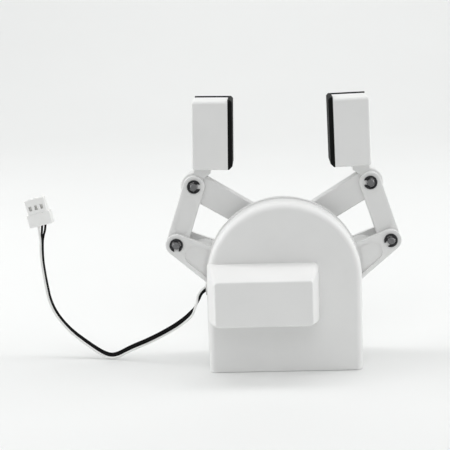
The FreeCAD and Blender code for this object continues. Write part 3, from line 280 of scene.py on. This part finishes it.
# The width of each part's rounded edges, in millimetres.
SOFT_EDGES = {
    "front_shell": 0.15, "bearing_plate": 0.12, "rear_shell": 0.15, "left_gear_arm": 0.15,
    "right_gear_arm": 0.15, "left_coupler": 0.15, "right_coupler": 0.15, "left_finger_pad": 0.35,
    "right_finger_pad": 0.35, "plug_housing": 0.18, "link_spacers": 0.1, "servo_motor_case": 0.2,
    "servo_end_cap": 0.2, "servo_gear_case": 0.2,
}
WELD_DISTANCE = 0.002 * MM
EDGE_ANGLE = math.radians(38)


def soften(obj, width):
    """Narrow rounded edges, so that corners catch the light."""
    weld = obj.modifiers.new("weld", "WELD")
    weld.merge_threshold = WELD_DISTANCE
    bevel = obj.modifiers.new("soft_edges", "BEVEL")
    bevel.width, bevel.segments = width * MM, 2
    bevel.limit_method, bevel.angle_limit = "ANGLE", EDGE_ANGLE
    bevel.use_clamp_overlap, bevel.harden_normals = True, True


for name, width in SOFT_EDGES.items():
    soften(nodes[name], width)

# ---------------------------------------------------------------- the lead

# The route from the housing to the plug, in millimetres.
LEAD_ROUTE = (
    (-32.4, 2.1, 33.5), (-35.0, 2.8, 31.9), (-36.3, 3.2, 27.4), (-38.6, 3.8, 22.4),
    (-45.4, 5.8, 16.6), (-56.5, 9.0, 10.0), (-66.1, 11.8, 5.5), (-72.7, 13.6, 1.6),
    (-77.3, 14.9, 1.6), (-84.6, 17.0, 5.9), (-94.0, 19.7, 12.6), (-101.0, 21.7, 21.9),
    (-103.0, 22.3, 33.8), (-104.3, 22.7, 46.5), (-102.9, 22.3, 58.3),
)
WIRE_RADIUS, WIRE_SPACING = 0.475, 0.90
WIRE_SIDES = 14
# How the flat lead is twisted: millimetres along it, and the degrees that its width turns
# from lying across the front towards pointing at the front.
LEAD_TWIST = ((0, -150), (4, -132), (9.5, -90), (15, -34), (24, -4), (38, -4), (52, -24), (66, -52),
              (84, -68), (108, -72), (119, -66), (125, -30), (140, -20))
# How far apart the wires are: millimetres along the lead, and the distance between two wires'
# middles. They part just before the plug.
LEAD_SPREAD = ((0, WIRE_SPACING), (121, WIRE_SPACING), (126.5, 1.5), (140, 1.5))


def between(table, place):
    """The value of a table of (place, value) at a place, with eased steps between its rows."""
    for (start, first), (end, last) in zip(table, table[1:]):
        if place <= end:
            share = max(0.0, (place - start) / (end - start))
            return first + (last - first) * (3 - 2 * share) * share * share
    return table[-1][1]


def nurbs_points(route, name):
    """The points of a smooth line with the route's points as its control points."""
    curve = bpy.data.curves.new(name, "CURVE")
    curve.dimensions = "3D"
    spline = curve.splines.new("NURBS")
    spline.points.add(len(route) - 1)
    for point, place in zip(spline.points, route):
        point.co = (*(Vector(place) * MM), 1)
    spline.order_u = 3
    spline.use_endpoint_u = True
    spline.resolution_u = 24
    holder = bpy.data.objects.new(name, curve)
    bpy.context.scene.collection.objects.link(holder)
    settled = holder.evaluated_get(bpy.context.evaluated_depsgraph_get())
    line = bpy.data.meshes.new_from_object(settled)
    points = [vertex.co.copy() for vertex in line.vertices]
    bpy.data.objects.remove(holder)
    bpy.data.meshes.remove(line)
    return points


def tube(mesh, centres, acrosses, normals, radius, material):
    """Adds a closed tube along centres to the mesh."""
    rings = []
    for centre, across, normal in zip(centres, acrosses, normals):
        angles = (2 * math.pi * i / WIRE_SIDES for i in range(WIRE_SIDES))
        rings.append([mesh.verts.new(centre + (across * math.cos(a) + normal * math.sin(a)) * radius)
                      for a in angles])
    for ring, after in zip(rings, rings[1:]):
        for i in range(WIRE_SIDES):
            j = (i + 1) % WIRE_SIDES
            face = mesh.faces.new((ring[i], ring[j], after[j], after[i]))
            face.smooth, face.material_index = True, material
    for ring in (rings[0][::-1], rings[-1]):
        mesh.faces.new(ring).material_index = material


def make_lead():
    """Three thin wires side by side, twisted along the route, that part before the plug."""
    line = nurbs_points(LEAD_ROUTE, "lead_route")
    befores, afters = line[:1] + line[:-1], line[1:] + line[-1:]
    tangents = [(after - before).normalized() for before, after in zip(befores, afters)]
    lengths = [0.0]
    for before, after in zip(line, line[1:]):
        lengths.append(lengths[-1] + (after - before).length / MM)
    wires = {-1: [], 0: [], 1: []}
    acrosses, normals = [], []
    for point, tangent, place in zip(line, tangents, lengths):
        toward = Vector((0, -1, 0))
        toward = (toward - tangent * toward.dot(tangent)).normalized()
        beside = tangent.cross(toward)
        angle = math.radians(between(LEAD_TWIST, place))
        across = beside * math.cos(angle) + toward * math.sin(angle)
        acrosses.append(across)
        normals.append(tangent.cross(across))
        for wire, centres in wires.items():
            centres.append(point + across * (wire * between(LEAD_SPREAD, place) * MM))
    mesh = bmesh.new()
    for wire, centres in wires.items():
        tube(mesh, centres, acrosses, normals, WIRE_RADIUS * MM, 0 if wire < 0 else 1)
    data = bpy.data.meshes.new("lead_wires")
    mesh.to_mesh(data)
    mesh.free()
    data.materials.append(moulded_plastic("wire_white", (0.80, 0.80, 0.79), gloss=0.34, grain=0.5))
    data.materials.append(rubber("wire_black", (0.005, 0.005, 0.0055), grain=0.3))
    piece = bpy.data.objects.new("lead_wires", data)
    bpy.context.scene.collection.objects.link(piece)
    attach(piece, "housing")
    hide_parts("lead")


make_lead()

# ---------------------------------------------------------------- floor, backdrop and light

FLOOR_COLOUR = (0.80, 0.805, 0.80)


def make_backdrop():
    """A floor that curves up into a plain wall behind."""
    mesh = bmesh.new()
    half_width, front, near, far = 3.0, -3.0, -0.6, 0.3
    bend_start, bend, bend_steps, top = 0.7, 0.9, 24, 3.0
    profile = [(front, 0.0), (near, 0.0), (far, 0.0)]
    for i in range(bend_steps + 1):
        angle = math.pi / 2 * i / bend_steps
        profile.append((bend_start + bend * math.sin(angle), bend * (1 - math.cos(angle))))
    profile.append((bend_start + bend, top))
    rows = [[mesh.verts.new((x, y, z)) for x in (-half_width, half_width)] for y, z in profile]
    for low, high in zip(rows, rows[1:]):
        mesh.faces.new((low[0], low[1], high[1], high[0])).smooth = True
    data = bpy.data.meshes.new("studio_floor")
    mesh.to_mesh(data)
    mesh.free()
    n = Nodes("studio_paper")
    at = n.place()
    tone = n.colours(n.noise(at, 0.25), (0.3, tint(FLOOR_COLOUR, 0.99)), (0.7, tint(FLOOR_COLOUR, 1.005)))
    n.bump((n.noise(at, 0.4 * MM), 0.05, 0.02 * MM))
    data.materials.append(n.use(tone, Roughness=0.75))
    floor = bpy.data.objects.new("studio_floor", data)
    bpy.context.scene.collection.objects.link(floor)


def area_light(name, place, target, size, power):
    """A rectangular light at a place, facing its target."""
    data = bpy.data.lights.new(name, "AREA")
    data.shape, data.size, data.size_y = "RECTANGLE", size[0], size[1]
    data.energy = power
    light = bpy.data.objects.new(name, data)
    light.location = place
    light.rotation_euler = (Vector(target) - Vector(place)).to_track_quat("-Z", "Y").to_euler()
    bpy.context.scene.collection.objects.link(light)


# Each light's name, place and target in metres, size, and power in watts.
LIGHTS = (
    ("top_light", (0.0, 0.05, 0.90), (0, 0.02, 0), (0.7, 0.6), 0.5),
    ("wall_light", (0.0, 0.2, 1.6), (0, 1.7, 0.6), (2.4, 0.8), 20.0),
    ("left_light", (-0.75, 0.05, 0.35), (0, 0, 0.05), (0.5, 0.6), 2.9),
    ("right_light", (0.75, 0.05, 0.35), (0, 0, 0.05), (0.5, 0.6), 2.8),
    ("front_light", (0.0, -1.0, 0.9), (0, 0, 0.05), (1.0, 0.7), 3.2),
)
AIR_LIGHT, AIR_COLOUR = 0.38, (0.985, 1.0, 0.995, 1)

make_backdrop()
for light in LIGHTS:
    area_light(*light)
world = bpy.data.worlds.new("studio_air")
world.use_nodes = True
air = world.node_tree.nodes["Background"]
air.inputs["Color"].default_value = AIR_COLOUR
air.inputs["Strength"].default_value = AIR_LIGHT
bpy.context.scene.world = world
bpy.context.scene.view_settings.view_transform = "Standard"
